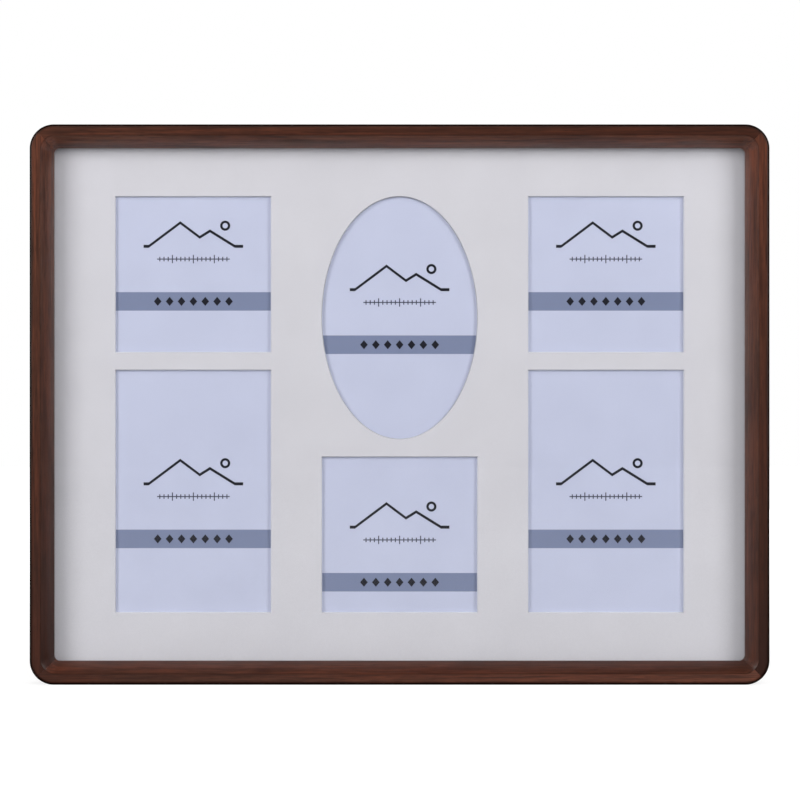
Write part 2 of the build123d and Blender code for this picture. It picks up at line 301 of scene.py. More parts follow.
def walnut(name):
    """Solid walnut on board coordinates: rings about a slanting pith, streaks, fibres and open pores.

    Each face is darkened by its own share, which changes along the rail: partly the boards' own
    tone, partly painted shade. The lacquer sinks in where the rail is darker. The outer edge and the
    sight edge carry painted shade, and the crest a darker line; there the lacquer is thin. The
    lacquer is sprayed from the front: it is thinner on the outer side, and the back has none.
    """
    material, shader, place = start_finish(name)
    board = place.node("ShaderNodeAttribute", {"attribute_name": "board"}, output="Vector")
    section = place.node("ShaderNodeAttribute", {"attribute_name": "section"}, output="Vector")
    along, across, deep = parts_of(board)
    inset, height, rail_darkening = parts_of(section)
    sway = noise(board, SWAY_WAVES) - 0.5
    from_pith = (across + along * GRAIN_SLANT + PITH_ACROSS) ** 2 + (deep + PITH_BEHIND) ** 2
    turn = (from_pith ** 0.5 + sway * RING_SWAY) / RING_WIDTH
    ring = turn.maths("FRACT", turn)
    late_wood = ramp(ring, LATE_WOOD_START, LATE_WOOD_FULL) * (1 - ramp(ring, LATE_WOOD_FULL, 1.0))
    tone = noise(board, TONE_WAVES)
    streak = noise(board, STREAK_WAVES, 3.0)
    fibre = noise(board, FIBRE_WAVES)
    pore = ramp(noise(board, PORE_WAVES, 1.0), 0.6, 0.7)
    hue = ramp(tone * 0.5 + streak * 0.5, 0.4, 0.6)
    wood = blend(hue, WALNUT_OLIVE, WALNUT_RED)
    shade = ramp(streak * 0.45 + fibre * 0.55, 0.58, 0.42)
    # Darker towards one end of each rail: partly the boards' own tone, partly painted shade.
    wood = blend(rail_darkening, wood, WALNUT_DARK_AND_SHADE)
    wood = blend(late_wood * LATE_WOOD_SHADE + shade * STREAK_SHADE, wood, WALNUT_DARK_AND_SHADE)
    wood = blend(pore * (PORE_SHADE - late_wood * LATE_PORE_LOSS), wood, WALNUT_PORE_AND_SHADE)
    # Painted shade at the outer edge and the sight edge, and a darker line along the crest, mixed towards
    # the pore colour.
    on_side = ramp(inset, EDGE_BAND_START, EDGE_BAND_FULL)
    painted_edge_shade = on_side * ramp(height, rail_depth - EDGE_SHADE_START, rail_depth - EDGE_SHADE_FULL)
    crest_darkening = ramp(abs(inset - CREST_INSET), CREST_DARK_BAND, 0.0) * CREST_SHADE
    painted_sight_shade = ramp(inset, RAIL_WIDTH - SIGHT_SHADE_BAND, RAIL_WIDTH) * SIGHT_SHADE
    darkening = painted_edge_shade + crest_darkening + painted_sight_shade
    blend(darkening, wood, WALNUT_PORE_AND_SHADE).feed(shader, "Base Color")
    (WOOD_ROUGHNESS + fibre * 0.1 + pore * 0.2 + darkening * 0.25).feed(shader, "Roughness")
    relief(fibre * 0.3 - pore, PORE_DEPTH).feed(shader, "Normal")
    sprayed = ramp(height, BACK_EDGE_RADIUS, rebate_depth) * (1 - on_side * (1 - SIDE_LACQUER))
    (sprayed * (1 - darkening) * (1 - rail_darkening * LACQUER_SUNK)).feed(shader, "Coat Weight")
    shader.inputs["Coat Roughness"].default_value = LACQUER_ROUGHNESS
    shader.inputs["Specular IOR Level"].default_value = 0.0
    return material


def moulding_section():
    """The section from the back edge round: inset from the outer side + 1j times height above the back.

    The belly is an arc through the crest and the sight edge. Each of these edges is eased by a small
    arc inside it, whose centre lies the difference of the two radii away from the belly's centre.
    """
    crest = complex(CREST_INSET, rail_depth)
    sight = complex(RAIL_WIDTH, rebate_depth + SIGHT_LAND)
    chord = sight - crest
    outward = 1j * chord / abs(chord)
    belly = (crest + sight) / 2 - outward * sqrt(BELLY_RADIUS**2 - abs(chord / 2) ** 2)
    inner = RAIL_WIDTH - SIGHT_EDGE_RADIUS
    rise = sqrt((BELLY_RADIUS - SIGHT_EDGE_RADIUS) ** 2 - (inner - belly.real) ** 2)
    sight_edge = complex(inner, belly.imag + rise)
    upper = rail_depth - CREST_RADIUS
    run = sqrt((BELLY_RADIUS - CREST_RADIUS) ** 2 - (upper - belly.imag) ** 2)
    crest_edge = complex(belly.real + run, upper)
    sight_angle = phase(sight_edge - belly)
    crest_angle = phase(crest_edge - belly)
    small = REBATE_EDGE_RADIUS
    return np.concatenate([
        arc(complex(BACK_EDGE_RADIUS, BACK_EDGE_RADIUS), BACK_EDGE_RADIUS, pi, 1.5 * pi),
        arc(complex(RAIL_WALL - small, small), small, 1.5 * pi, 2 * pi),
        arc(complex(RAIL_WALL + small, rebate_depth - small), small, pi, pi / 2),
        arc(complex(RAIL_WIDTH - small, rebate_depth + small), small, -pi / 2, 0),
        arc(sight_edge, SIGHT_EDGE_RADIUS, 0, sight_angle),
        arc(belly, BELLY_RADIUS, sight_angle, crest_angle, BELLY_STEPS),
        arc(crest_edge, CREST_RADIUS, crest_angle, pi / 2),
        arc(complex(ROUNDOVER_RADIUS, rail_depth - ROUNDOVER_RADIUS), ROUNDOVER_RADIUS, pi / 2, pi),
    ])


def rail(name, length, reach, turn, board_start, front_darkening, belly_darkening, finish):
    """The profile carried along one side and half-way round its two corners.

    The corner's radius r falls evenly with the distance d in from the outer side. At the angle a round
    the corner, a point lies length / 2 - d - r + r sin a along the rail from its middle, and
    reach - d - r + r cos a out from the middle of the frame. The rail is then turned into its place.
    The darkenings are the shares of dark colour on the front and the belly at the rail's two ends:
    partly the boards' own tone, partly painted shade.
    """
    inset, height = rail_section.real, rail_section.imag
    radius = OUTER_CORNER_RADIUS + (SIGHT_CORNER_RADIUS - OUTER_CORNER_RADIUS) * inset / RAIL_WIDTH
    bend = np.linspace(0, pi / 4, RAIL_TURN_STEPS)[1:]
    angle = np.concatenate([-bend[::-1], np.zeros(RAIL_LENGTH_STEPS), bend])[:, None]
    end = np.ones_like(bend)
    share = np.concatenate([-end, np.linspace(-1, 1, RAIL_LENGTH_STEPS), end])[:, None]
    along = share * (length / 2 - MITRE_HAIRLINE - inset - radius) + radius * np.sin(angle)
    out = reach - inset - radius + radius * np.cos(angle)
    inset, height = np.broadcast_to(inset, along.shape), np.broadcast_to(height, along.shape)
    x = middle_x + along * cos(turn) - out * sin(turn)
    z = middle_z + along * sin(turn) + out * cos(turn)
    points, faces = capped_rings(np.stack([x, rail_back - height, z], axis=-1))
    board = np.stack([along + board_start, reach - out, height], axis=-1)
    # Painted shade mixed with the boards' own tone: each rail darker towards one end.
    front, belly = (np.interp(along / length, (-0.5, 0.5), ends) for ends in (front_darkening, belly_darkening))
    darkening = np.where(inset > CREST_INSET, belly, front)
    section = np.stack([inset, height, darkening], axis=-1)
    attributes = {"board": board, "section": section}
    piece = add_piece(name, points, faces, [finish], attributes=attributes)
    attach(piece, "frame")
    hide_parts(name)


# Each rail's turn in degrees from the top, where it was cut from its board, and the darkening of its front
# and its belly at its two ends, partly the boards' tone and partly painted shade.
RAIL_CUTS = {
    "top_rail": (0, 0.81, (0.35, 0.7), (0.0, 0.0)),
    "right_rail": (-90, 1.41, (0.1, 0.95), (0.0, 0.5)),
    "bottom_rail": (180, 2.65, (0.0, 0.6), (0.6, 0.4)),
    "left_rail": (90, 4.25, (0.75, 0.0), (0.9, 0.1)),
}

rail_section = moulding_section()
outer_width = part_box("right_rail")[1].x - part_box("left_rail")[0].x
outer_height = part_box("top_rail")[1].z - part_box("bottom_rail")[0].z
walnut_finish = walnut("walnut")
for rail_name, (degrees, *cut) in RAIL_CUTS.items():
    length, apart = (outer_height, outer_width) if degrees % 180 else (outer_width, outer_height)
    rail(rail_name, length, apart / 2, radians(degrees), *cut, walnut_finish)


# V nails: chevrons of bright strip steel, pressed across each glued mitre from behind until they lie
# flush with the back of the rails.
NAIL_STEEL = screen_colour(176, 178, 180)
NAIL_SCRATCH = screen_colour(120, 121, 122)
NAIL_ROUGHNESS = 0.3
NAIL_CLOUDS = 400
PLATING_GRAIN = (2600, 2600, 2600)
PLATING_DEPTH = 0.000006
DULL_ROUGHNESS = 0.14


def plated_steel(name, bright, dull, roughness, clouds):
    """Plated steel: clouds of a bright and a dull tone, so many to the metre, rougher where it is dull."""
    material, shader, place = start_finish(name)
    cloud = noise(place, (clouds, clouds, clouds), 3.0)
    fine = noise(place, PLATING_GRAIN)
    dulled = ramp(cloud * 0.7 + fine * 0.3, 0.38, 0.64)
    blend(dulled, bright, dull).feed(shader, "Base Color")
    (roughness + dulled * DULL_ROUGHNESS).feed(shader, "Roughness")
    relief(fine, PLATING_DEPTH).feed(shader, "Normal")
    shader.inputs["Metallic"].default_value = 1.0
    return material


def finish_node(node, finish):
    """Give a CAD node's object this finish all over."""
    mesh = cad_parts[node].data
    mesh.materials.clear()
    mesh.materials.append(finish)


nail_steel = plated_steel("nail_steel", NAIL_STEEL, NAIL_SCRATCH, NAIL_ROUGHNESS, NAIL_CLOUDS)
finish_node("corner_v_nails", nail_steel)


# Glazing: a sheet of clear float glass with ground edges, dropped into the rebate against the lip.
# Its front face holds the reflections, so that light reaches the mat as through thin clear glass.
SHEET_CORNER_RADIUS = 0.00735
SHEET_CORNER_STEPS = 16
GLASS_ARRIS = 0.0003
GLASS_AIR_GAP = 0.00008
GLASS_REFLECTANCE = 0.04
GLASS_POLISH = 0.012
GLASS_SMEAR = 0.02
GLASS_EDGE_GREEN = screen_colour(150, 190, 175)
GLASS_EDGE_PALE = (0.9, 0.95, 0.92, 1)
GROUND_ROUGHNESS = 0.6
CLEAR_FRONT, GROUND_EDGE, CLEAR_BACK = range(3)


def rounded_sheet(low, high, corner_radius, arris):
    """Rings of a flat sheet with rounded corners, whose edges are eased by a small flat on each face."""
    right, left = high.x - corner_radius, low.x + corner_radius
    top, bottom = high.z - corner_radius, low.z + corner_radius
    centres = [complex(right, top), complex(left, top), complex(left, bottom), complex(right, bottom)]
    rings = []
    for inset, y in ((arris, low.y), (0, low.y + arris), (0, high.y - arris), (arris, high.y)):
        outline = np.concatenate([
            arc(centre, corner_radius - inset, quarter * pi / 2, (quarter + 1) * pi / 2, SHEET_CORNER_STEPS)
            for quarter, centre in enumerate(centres)
        ])
        rings.append(np.stack([outline.real, np.full(len(outline), y), outline.imag], axis=-1))
    return np.stack(rings)


def clear_glass(name):
    """Glass as a thin clear skin: it mirrors a share that grows as (1 - cos)^5, and lets the rest by."""
    material, shader, place = start_finish(name)
    facing = place.node("ShaderNodeLayerWeight", None, {"Blend": 0.5}, output="Facing")
    mirrored = GLASS_REFLECTANCE + (1 - GLASS_REFLECTANCE) * facing ** 5
    mirrored.feed(shader, "Alpha")
    smear = noise(place, (60, 60, 60))
    (GLASS_POLISH + smear * GLASS_SMEAR).feed(shader, "Roughness")
    shader.inputs["Metallic"].default_value = 1.0
    shader.inputs["Base Color"].default_value = (1, 1, 1, 1)
    return material


def ground_glass_edge(name):
    """The ground rim of the glass: pale green and matt."""
    material, shader, place = start_finish(name)
    grind = noise(place, (1800, 1800, 1800))
    blend(grind, GLASS_EDGE_GREEN, GLASS_EDGE_PALE).feed(shader, "Base Color")
    shader.inputs["Roughness"].default_value = GROUND_ROUGHNESS
    return material


def clear_back(name):
    """The back face of the glass, which only lets light by."""
    material, shader, _ = start_finish(name)
    shader.inputs["Alpha"].default_value = 0.0
    return material


glass_back = glazing_high - Vector((0, GLASS_AIR_GAP, 0))
glass_rings = rounded_sheet(glazing_low, glass_back, SHEET_CORNER_RADIUS, GLASS_ARRIS)
glass_points, glass_faces = capped_rings(glass_rings)
glass_finishes = [clear_glass("clear_glass"), ground_glass_edge("glass_edge"), clear_back("glass_back")]
glass_face_finish = np.full(len(glass_faces), GROUND_EDGE)
glass_face_finish[-2:] = (CLEAR_FRONT, CLEAR_BACK)
glazing = add_piece("glazing_sheet", glass_points, glass_faces, glass_finishes, glass_face_finish)
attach(glazing, "frame")
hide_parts("glazing_sheet")


# Mat: one sheet of off-white board with six windows, cut by a slightly tilted blade, which bares the
# core on the narrow bevels. The oval's bevel is painted grey, as painted shade along its cut. Three
# columns hold a square window and a tall or an oval one.
WINDOW_WIDTH = 0.0886
SQUARE_HEIGHT = 0.0886
TALL_HEIGHT = 0.1382
COLUMN_PITCH = 0.118
ROW_GAP = 0.0106
BEVEL_RUN = 0.0004
CUT_EDGE_EASE = 0.0001
ACROSS_POINTS = 49
UP_POINTS = 129
MAT_FACE_WHITE = screen_colour(213, 212, 218)
MAT_FACE_SHADE = screen_colour(208, 207, 213)
MAT_CORE_WHITE = screen_colour(210, 210, 216)
MAT_CORE_SHADE = screen_colour(202, 202, 208)
# Painted shade: the oval's bevel is greyer than the core.
OVAL_SHADED_CUT_PALE = screen_colour(186, 186, 192)
OVAL_SHADED_CUT_DARK = screen_colour(178, 178, 184)
BOARD_ROUGHNESS = 0.85
BOARD_GLOSS = 0.25
CUT_ROUGHNESS = 0.95
BOARD_TOOTH_DEPTH = 0.00002
MAT_FACE, MAT_CUT, MAT_LINER, MAT_OVAL_SHADED_CUT = range(4)
COLUMNS = ("left", "centre", "right")
CENTRE_COLUMN = COLUMNS.index("centre")

stack_half = (SQUARE_HEIGHT + TALL_HEIGHT + ROW_GAP) / 2


def window_places():
    """Each window by name: the X and Z of its middle, its height, and whether it is oval."""
    places = {}
    for column, side in enumerate(COLUMNS):
        oval = column == CENTRE_COLUMN
        upper = TALL_HEIGHT if oval else SQUARE_HEIGHT
        lower = SQUARE_HEIGHT if oval else TALL_HEIGHT
        x = middle_x + (column - CENTRE_COLUMN) * COLUMN_PITCH
        places["upper_" + side] = (x, middle_z + stack_half - upper / 2, upper, oval)
        places["lower_" + side] = (x, middle_z - stack_half + lower / 2, lower, False)
    return places


def mat_cell(x, z, height, oval, left, right, levels):
    """The part of the mat about one window: its section carried round the window's outline.

    A point of the outline lies the same share along its side of the window, or along its quarter of
    the oval, as along that side of the cell. The section runs from the cell's edge to the window, down
    the bevel, and back to the cell's edge behind. Levels are the heights of the points up its sides.
    """
    bottom, top = levels[0], levels[-1]
    across = np.linspace(0, 1, ACROSS_POINTS)
    up = (levels - bottom) / (top - bottom)
    shares = [across, up, across, 1 - up[::-1]]
    side = np.concatenate([np.full(len(part) - 1, index) for index, part in enumerate(shares)])
    share = np.concatenate([part[:-1] for part in shares])[:, None]
    square = np.array([(-1, -1), (1, -1), (1, 1), (-1, 1), (-1, -1)])
    square = square[side] + share * (square[side + 1] - square[side])
    angle = (side + share[:, 0]) * pi / 2 - 3 * pi / 4
    outline = np.stack([np.cos(angle), np.sin(angle)], axis=-1) if oval else square
    edge = np.array([left + right, bottom + top]) / 2 + square * np.array([right - left, top - bottom]) / 2

    def window(grow):
        return (x, z) + outline * (WINDOW_WIDTH / 2 + grow, height / 2 + grow)

    rings = [
        (edge, mat_low.y),
        (window(BEVEL_RUN + CUT_EDGE_EASE), mat_low.y),
        (window(BEVEL_RUN + CUT_EDGE_EASE / 4), mat_low.y + CUT_EDGE_EASE / 4),
        (window(BEVEL_RUN - CUT_EDGE_EASE / 4), mat_low.y + CUT_EDGE_EASE),
        (window(0), mat_high.y),
        (edge, mat_high.y),
    ]
    return np.stack([np.insert(ring, 1, y, axis=1) for ring, y in rings]), edge


def round_sheet_corners(points):
    """Push points near the mat's square corners in, onto an arc about each rounded corner's middle."""
    middle = np.array([(mat_low.x + mat_high.x) / 2, (mat_low.z + mat_high.z) / 2])
    half = np.array([mat_high.x - mat_low.x, mat_high.z - mat_low.z]) / 2 - SHEET_CORNER_RADIUS
    offset = points[:, ::2] - middle
    beyond = np.maximum(np.abs(offset) - half, 0)
    length = np.linalg.norm(beyond, axis=1, keepdims=True)
    in_corner = (beyond > 0).all(axis=1, keepdims=True) & (length > SHEET_CORNER_RADIUS)
    scale = np.where(in_corner, SHEET_CORNER_RADIUS / np.maximum(length, WELD_DISTANCE), 1)
    moved = np.sign(offset) * (np.minimum(np.abs(offset), half) + beyond * scale)
    rounded = points.copy()
    rounded[:, ::2] = middle + moved
    return rounded


def board_paper(name, pale, shade, roughness=BOARD_ROUGHNESS):
    """Pressed paper: a faint cloud, fine fibres in the colour, and a tooth that takes grazing light."""
    material, shader, place = start_finish(name)
    cloud = noise(place, (35, 35, 35))
    fibre = noise(place, (1500, 1500, 1500), 3.0)
    tooth = noise(place, (2400, 2400, 2400), 2.0)
    blend(ramp(cloud * 0.45 + fibre * 0.55, 0.36, 0.64), shade, pale).feed(shader, "Base Color")
    relief(tooth * 0.6 + fibre * 0.4, BOARD_TOOTH_DEPTH).feed(shader, "Normal")
    shader.inputs["Roughness"].default_value = roughness
    shader.inputs["Specular IOR Level"].default_value = BOARD_GLOSS
    return material


def on_rim(edge):
    """Which steps of a cell's edge run along the outer sides of the mat."""
    along = np.zeros(len(edge), bool)
    ahead = np.roll(edge, -1, axis=0)
    for axis, side in ((0, mat_low.x), (0, mat_high.x), (1, mat_low.z), (1, mat_high.z)):
        along |= np.isclose(edge[:, axis], side) & np.isclose(ahead[:, axis], side)
    return np.flatnonzero(along)


mat_points = []
mat_faces = []
mat_face_finish = []
side_break = middle_z + (TALL_HEIGHT - SQUARE_HEIGHT) / 2
centre_break = middle_z - (TALL_HEIGHT - SQUARE_HEIGHT) / 2
mat_levels = np.linspace(mat_low.z, mat_high.z, UP_POINTS)
mat_levels = np.union1d(mat_levels, [side_break, centre_break])
column_edges = [mat_low.x, middle_x - COLUMN_PITCH / 2, middle_x + COLUMN_PITCH / 2, mat_high.x]
for x, z, height, oval in window_places().values():
    column = round((x - middle_x) / COLUMN_PITCH) + CENTRE_COLUMN
    row_break = centre_break if column == CENTRE_COLUMN else side_break
    in_row = mat_levels >= row_break if z > row_break else mat_levels <= row_break
    left, right = column_edges[column : column + 2]
    cell, edge = mat_cell(x, z, height, oval, left, right, mat_levels[in_row])
    count, around = cell.shape[:2]
    faces = np.array(grid_faces(count, around))
    place = on_rim(edge)
    after = (place + 1) % around
    back = (count - 1) * around
    rim = np.stack([back + place, place, after, back + after], axis=-1)
    start = sum(len(part) for part in mat_points)
    mat_points.append(round_sheet_corners(cell.reshape(-1, 3)))
    mat_faces.extend((np.concatenate([faces, rim]) + start).tolist())
    # The oval's bevel gets the grey of painted shade.
    cut = MAT_OVAL_SHADED_CUT if oval else MAT_CUT
    ring_finish = [MAT_FACE, MAT_FACE, cut, cut, MAT_LINER]
    mat_face_finish.extend([*np.repeat(ring_finish, around), *np.full(len(rim), MAT_CUT)])
mat_points = np.concatenate(mat_points)
mat_finishes = [
    board_paper("mat_face", MAT_FACE_WHITE, MAT_FACE_SHADE),
    board_paper("mat_core", MAT_CORE_WHITE, MAT_CORE_SHADE, CUT_ROUGHNESS),
    board_paper("mat_liner", MAT_CORE_WHITE, MAT_CORE_SHADE),
    board_paper("mat_oval_cut_painted_shade", OVAL_SHADED_CUT_PALE, OVAL_SHADED_CUT_DARK, CUT_ROUGHNESS),
]
mat = add_piece("mat_board", mat_points, mat_faces, mat_finishes, mat_face_finish, sharp_over=20)
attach(mat, "frame")
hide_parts("mat_board")


# Prints: the paper sheets that fill the windows of a new frame. Each is pale lavender, with a line
# drawing of hills under a sun, a small ruled scale below it, and a slate band with a row of lozenges.
PRINT_BOW = 0.00006
PRINT_STEPS = 25
BAND_BELOW_UPPER = 0.0154
BAND_BELOW_LOWER = 0.0273
PAPER_LAVENDER = screen_colour(199, 204, 227)
PAPER_SHADE = screen_colour(195, 200, 223)
BAND_SLATE = screen_colour(124, 134, 164)
INK_NAVY = screen_colour(10, 11, 26)
INK_GREY = screen_colour(60, 62, 84)
INK_BLEED = 0.00008
PAPER_TOOTH_DEPTH = 0.00001
PAPER_ROUGHNESS = 0.62
PAPER_GLOSS = 0.3


def bowed_sheet(low, high, bow):
    """A thin sheet on a grid: both faces lie back by bow (1 - u^2)(1 - v^2), u and v from -1 to 1."""
    across = np.linspace(-1, 1, PRINT_STEPS)
    u, v = np.meshgrid(across, across, indexing="ij")
    x = (low.x + high.x) / 2 + u * (high.x - low.x) / 2
    z = (low.z + high.z) / 2 + v * (high.z - low.z) / 2
    lie = bow * (1 - u**2) * (1 - v**2)
    front = np.stack([x, low.y + lie, z], axis=-1)
    rear = np.stack([x, high.y + lie, z], axis=-1)
    rings = np.concatenate([front, rear[:, ::-1]], axis=1)
    points, faces = capped_rings(rings)
    return points, faces[:-2] + rim_strips(rings.shape[1], PRINT_STEPS)


def rim_strips(around, steps):
    """Quads that close the first and last ring of a folded grid, pairing its front and rear points."""
    step = np.arange(steps - 1)
    strip = np.stack([step, step + 1, around - 2 - step, around - 1 - step], axis=-1)
    return [*strip.tolist(), *(strip + (steps - 1) * around).tolist()]


def stroke(distance, width):
    """1 on a line of this width, by the distance from its middle, with a soft edge as ink has."""
    return ramp(distance, width / 2 + INK_BLEED, width / 2 - INK_BLEED)


HILL_LINE = 0.0014
HILL_HALF_WIDTH = 0.0285
HILLS_ABOVE_BAND = 0.0315
HILLS = ((-0.0075, 0.0135, 0.75), (0.0095, 0.0088, 0.62))
SUN = (0.0182, 0.0118, 0.0022)
SCALE_ABOVE_BAND = 0.0242
SCALE_HALF_WIDTH = 0.0205
SCALE_LINE = 0.0006
SCALE_STEP = 0.0024
SCALE_TICK = 0.0013
SCALE_LONG_TICK = 0.0024
LONG_TICK_EVERY = 5
BAND_HALF_HEIGHT = 0.0053
LOZENGE_PITCH = 0.0068
LOZENGE_HALF_WIDTH = 0.0022
LOZENGE_HALF_HEIGHT = 0.0026
LOZENGE_ROW_HALF = 0.0238
LOZENGE_BLEED = 0.05


def print_paper(name):
    """The printed sheet, on distances across and up from the middle of its band."""
    material, shader, place = start_finish(name)
    drawn = place.node("ShaderNodeAttribute", {"attribute_name": "print_place"}, output="Vector")
    across, up = parts_of(drawn, "XZ")

    def largest(first, second):
        return across.maths("MAXIMUM", first, second)

    def within(value, half):
        return ramp(abs(value), half + INK_BLEED, half - INK_BLEED)

    ridge = None
    for middle, peak, steepness in HILLS:
        flank = peak - abs(across - middle) * steepness
        ridge = largest(ridge, flank) if ridge else largest(flank, 0.0)
    lift = up - HILLS_ABOVE_BAND
    slant = cos(np.arctan(HILLS[0][2]))
    hill_ink = stroke(abs(lift - ridge) * slant, HILL_LINE) * within(across, HILL_HALF_WIDTH)
    sun_x, sun_up, sun_radius = SUN
    from_sun = ((across - sun_x) ** 2 + (lift - sun_up) ** 2) ** 0.5
    sun_ink = stroke(abs(from_sun - sun_radius), HILL_LINE)

    rule = up - SCALE_ABOVE_BAND
    nearest = across / SCALE_STEP
    nearest = nearest.maths("ROUND", nearest)
    past_long = across.maths("FRACT", abs(nearest / LONG_TICK_EVERY))
    is_long = ramp(past_long, 0.1, 0.05)
    tick_top = SCALE_TICK + is_long * (SCALE_LONG_TICK - SCALE_TICK)
    tick = stroke(abs(across - nearest * SCALE_STEP), SCALE_LINE)
    tick = tick * ramp(abs(rule) - tick_top, INK_BLEED, -INK_BLEED)
    scale_ink = largest(tick, stroke(abs(rule), SCALE_LINE))
    scale_ink = scale_ink * within(across, SCALE_HALF_WIDTH + SCALE_LINE / 2)

    band = within(up, BAND_HALF_HEIGHT)
    cell = across / LOZENGE_PITCH
    cell = (cell - cell.maths("ROUND", cell)) * LOZENGE_PITCH
    reach = abs(cell) / LOZENGE_HALF_WIDTH + abs(up) / LOZENGE_HALF_HEIGHT
    lozenge = ramp(reach, 1 + LOZENGE_BLEED, 1 - LOZENGE_BLEED) * within(across, LOZENGE_ROW_HALF)

    fibre = noise(place, (1700, 1700, 1700), 3.0)
    cloud = noise(place, (40, 40, 40))
    paper = blend(ramp(cloud * 0.6 + fibre * 0.4, 0.36, 0.64), PAPER_SHADE, PAPER_LAVENDER)
    paper = blend(band * (0.94 + fibre * 0.12), paper, BAND_SLATE)
    paper = blend(scale_ink, paper, INK_GREY)
    paper = blend(largest(largest(hill_ink, sun_ink), lozenge), paper, INK_NAVY)
    paper.feed(shader, "Base Color")
    relief(fibre, PAPER_TOOTH_DEPTH).feed(shader, "Normal")
    shader.inputs["Roughness"].default_value = PAPER_ROUGHNESS
    shader.inputs["Specular IOR Level"].default_value = PAPER_GLOSS
    return material


printed = print_paper("print_paper")
for window_name, (x, z, _, _) in window_places().items():
    print_name = "print_" + window_name
    points, faces = bowed_sheet(*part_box(print_name), PRINT_BOW)
    below = BAND_BELOW_UPPER if window_name.startswith("upper") else BAND_BELOW_LOWER
    drawn_from = points - (x, 0, z - below)
    sheet = add_piece(print_name, points, faces, [printed], attributes={"print_place": drawn_from})
    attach(sheet, "frame")
    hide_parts(print_name)


# Tapes and filler: strips of white gummed linen tape hang the prints on the back of the mat, and a
# sheet of grey card behind them presses everything flat. Both are shut in by the backing.
TAPE_WHITE = screen_colour(228, 226, 216)
TAPE_SHADE = screen_colour(208, 205, 194)
CARD_GREY = screen_colour(168, 160, 148)
CARD_SPECK = screen_colour(128, 120, 108)
finish_node("print_tapes", board_paper("paper_tape", TAPE_WHITE, TAPE_SHADE))
finish_node("filler_card", board_paper("filler_card", CARD_GREY, CARD_SPECK))


# Backing: a sheet of brown fibreboard, sawn to the size of the rebate, with its smooth pressed face to
# the rear. It lies on the filler and shuts the rest in.
BACKING_EDGE = 0.0003
STRAND_DEPTH = 0.00002
FLECK_SHADE = 0.6
FIBREBOARD_ROUGHNESS = 0.5
FIBREBOARD_BROWN = screen_colour(133, 96, 62)
FIBREBOARD_PALE = screen_colour(158, 120, 82)
FIBREBOARD_FLECK = screen_colour(86, 58, 36)


def fibreboard(name):
    """Pressed wood fibre: short crossed strands of two browns, with dark flecks, slightly shiny."""
    material, shader, place = start_finish(name)
    strands = noise(place, (260, 900, 1500), 3.0)
    crossed = noise(place, (1500, 900, 260), 3.0)
    cloud = noise(place, (18, 18, 18))
    fleck = ramp(noise(place, (900, 900, 900), 1.0), 0.68, 0.76)
    mixed = ramp(strands * 0.35 + crossed * 0.35 + cloud * 0.3, 0.36, 0.62)
    brown = blend(mixed, FIBREBOARD_BROWN, FIBREBOARD_PALE)
    blend(fleck * FLECK_SHADE, brown, FIBREBOARD_FLECK).feed(shader, "Base Color")
    (FIBREBOARD_ROUGHNESS + mixed * 0.12).feed(shader, "Roughness")
    relief(strands * 0.5 + crossed * 0.5, STRAND_DEPTH).feed(shader, "Normal")
    return material


backing_low, backing_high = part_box("backing_board")
points, faces = capped_rings(rounded_sheet(backing_low, backing_high, SHEET_CORNER_RADIUS, BACKING_EDGE))
backing = add_piece("backing_board", points, faces, [fibreboard("backing_fibreboard")])
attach(backing, "frame")
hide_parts("backing_board")


# Turn buttons: tapered tongues stamped from zinc-plated steel, with a pressed bead down the back.
# Each swings on its own screw, and holds the backing in while its tip points into the frame.
BUTTON_REACH = 0.016
BUTTON_END_RADIUS = 0.0026
BUTTON_TIP_RADIUS = 0.0022
BUTTON_THICKNESS = 0.001
BUTTON_HOLE_RADIUS = 0.00125
BUTTON_EDGE_EASE = 0.0002
BEAD_TOP = 0.004
BEAD_HALF_WIDTH = 0.0008
BEAD_HEIGHT = 0.0005
BUTTON_ARC_POINTS = 24
BUTTON_SIDE_POINTS = 30
BUTTON_FACE_RINGS = 22
BUTTON_RIM_STEPS = 5
ZINC_BRIGHT = screen_colour(198, 200, 200)
ZINC_DULL = screen_colour(150, 152, 150)
ZINC_ROUGHNESS = 0.28
ZINC_CLOUDS = 260
BUTTON_TURNS = {
    "top_left": 0,
    "top_right": 0,
    "right_upper": 90,
    "right_lower": 90,
    "bottom_right": 180,
    "bottom_left": 180,
    "left_lower": 270,
    "left_upper": 270,
}


def tongue_outline(inset):
    """A half circle about the screw, a straight side, a half circle about the tip, and a straight side."""
    over = np.linspace(0, pi, BUTTON_ARC_POINTS)
    under = np.linspace(pi, 2 * pi, BUTTON_ARC_POINTS)
    share = np.linspace(0, 1, BUTTON_SIDE_POINTS)[1:-1]
    end = BUTTON_END_RADIUS - inset
    tip = BUTTON_TIP_RADIUS - inset
    side_x = end + (tip - end) * share
    side_z = -BUTTON_REACH * share
    x = np.concatenate([end * np.cos(over), -side_x, tip * np.cos(under), side_x[::-1]])
    z = np.concatenate([end * np.sin(over), side_z, tip * np.sin(under) - BUTTON_REACH, side_z[::-1]])
    return np.stack([x, z], axis=-1)


def bead_lift(x, z):
    """Height of the bead: a raised cosine across the distance from its middle line."""
    low_end = -BUTTON_REACH + BEAD_HALF_WIDTH
    high_end = -BEAD_TOP - BEAD_HALF_WIDTH
    beyond = np.maximum(np.maximum(low_end - z, z - high_end), 0)
    off_line = np.minimum(np.hypot(x, beyond) / BEAD_HALF_WIDTH, 1)
    return BEAD_HEIGHT * (1 + np.cos(pi * off_line)) / 2


